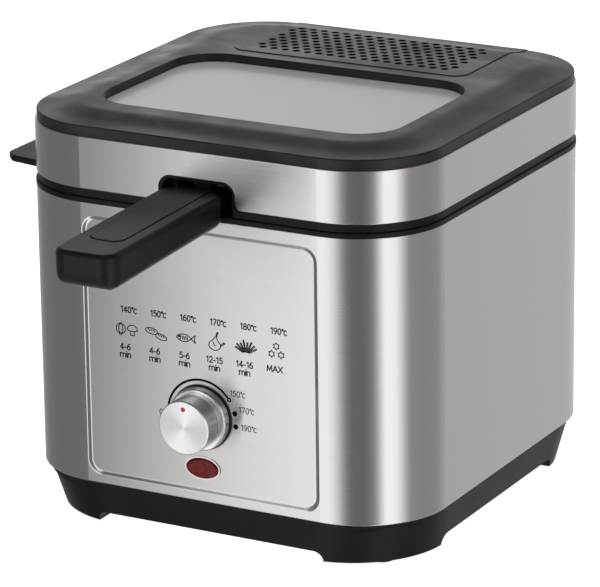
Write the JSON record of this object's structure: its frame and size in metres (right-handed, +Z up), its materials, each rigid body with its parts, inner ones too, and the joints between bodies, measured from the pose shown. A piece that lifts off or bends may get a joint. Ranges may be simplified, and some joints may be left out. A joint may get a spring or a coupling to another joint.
{
  "type": "deep fryer",
  "caption": "Compact square countertop deep fryer: brushed steel body, black base and lid with window and filter cover, wire basket on a long handle, thermostat knob.",
  "frame": {"origin": "middle of the body's footprint, on the plane that the rubber feet stand on", "axes": "+Z up, -Y the front with the knob and the basket handle, +X the right side seen from the front"},
  "size_m": [0.2543, 0.3521, 0.219],
  "materials": {
    "zinc_steel": "zinc plated sheet",
    "screw_steel": "bright plated",
    "black_plastic": "satin black moulding",
    "basket_chrome": "plated wire",
    "copper": "drawn copper",
    "charcoal_foam": "open foam",
    "black_rubber": "matt",
    "dial_black": "gloss",
    "pressed_aluminium": "pressed, satin",
    "black_top_plastic": "satin black, fine texture",
    "filter_fleece": "fleece",
    "handle_plastic": "satin black, fine texture",
    "element_sheath": "oxidised sheath",
    "red_lens": "clear red",
    "nonstick_coating": "dark non-stick coating",
    "wire_insulation": "silicone sleeve",
    "turned_aluminium": "turned face, polished side",
    "knob_plastic": "satin",
    "red_paint": "filled dot",
    "chrome_trim": "polished",
    "seal_rubber": "soft silicone",
    "brushed_stainless": "horizontally brushed stainless",
    "clear_glass": "clear",
    "white_ceramic": "glazed",
    "brass_fittings": "bright",
    "thermostat_case": "phenolic",
    "hazed_glass": "hazed"
  },
  "bodies": {
    "root": {"base_cover": "zinc_steel", "base_screws": "screw_steel", "base_tub": "black_plastic", "body_rim": "black_plastic", "capillary_tube": "copper", "cord_gland": "black_rubber", "dial_ring": "dial_black", "element_clamp": "pressed_aluminium", "heat_shield": "zinc_steel", "heating_element": "element_sheath", "indicator_lens": "red_lens", "inner_pot": "nonstick_coating", "internal_wiring": "wire_insulation", "lamp_bezel": "chrome_trim", "lamp_holder": "black_plastic", "neon_lamp": "clear_glass", "outer_housing": "brushed_stainless", "pot_studs": "screw_steel", "rear_housing": "brushed_stainless", "rubber_feet": "black_rubber", "sensor_bulb": "copper", "shaft_nut": "screw_steel", "side_housing": "brushed_stainless", "support_posts": "zinc_steel", "terminal_block": "white_ceramic", "thermal_fuse": "brass_fittings", "thermostat_body": "thermostat_case", "thermostat_bracket": "zinc_steel"},
    "knob": {"knob_cap": "turned_aluminium", "knob_core": "knob_plastic", "knob_pointer": "red_paint", "thermostat_shaft": "screw_steel"},
    "lid": {"lid_top_plate": "black_top_plastic", "lid_skirt": "brushed_stainless", "lid_trim": "black_plastic", "lid_liner": "pressed_aluminium", "lid_seal": "seal_rubber", "lid_screws": "screw_steel", "window_glass": "hazed_glass", "window_gasket": "seal_rubber", "filter_tray": "black_plastic"},
    "filter_cover": {"filter_cover": "black_top_plastic"},
    "filters": {"grease_filter": "filter_fleece", "charcoal_filter": "charcoal_foam"},
    "basket": {"basket_shell": "basket_chrome", "basket_rim": "basket_chrome", "basket_feet": "basket_chrome", "basket_bracket": "basket_chrome", "basket_rivets": "screw_steel", "handle_arms": "basket_chrome", "handle_grip": "handle_plastic", "handle_inlay": "handle_plastic", "handle_screws": "screw_steel"}
  },
  "joints": [
    {"name": "lid_lift", "type": "slide", "parent": "root", "child": "lid", "axis": [0, 0, 1], "range_m": [0, 0.21]},
    {"name": "basket_lift", "type": "slide", "parent": "root", "child": "basket", "axis": [0, 0, 1], "range_m": [0, 0.0945]},
    {"name": "knob_turn", "type": "hinge", "parent": "root", "child": "knob", "pos_m": [0, -0.119, 0.0701], "axis": [0, 1, 0], "range_deg": [-75, 95]},
    {"name": "filter_cover_lift", "type": "slide", "parent": "lid", "child": "filter_cover", "axis": [0, 0, 1], "range_m": [0, 0.05]},
    {"name": "filter_lift", "type": "slide", "parent": "lid", "child": "filters", "axis": [0, 0, 1], "range_m": [0, 0.025]}
  ],
  "couplings": [
    {"joint": "basket_lift", "follows": "lid_lift", "ratio": 0.45},
    {"joint": "filter_lift", "follows": "filter_cover_lift", "ratio": 0.5}
  ]
}
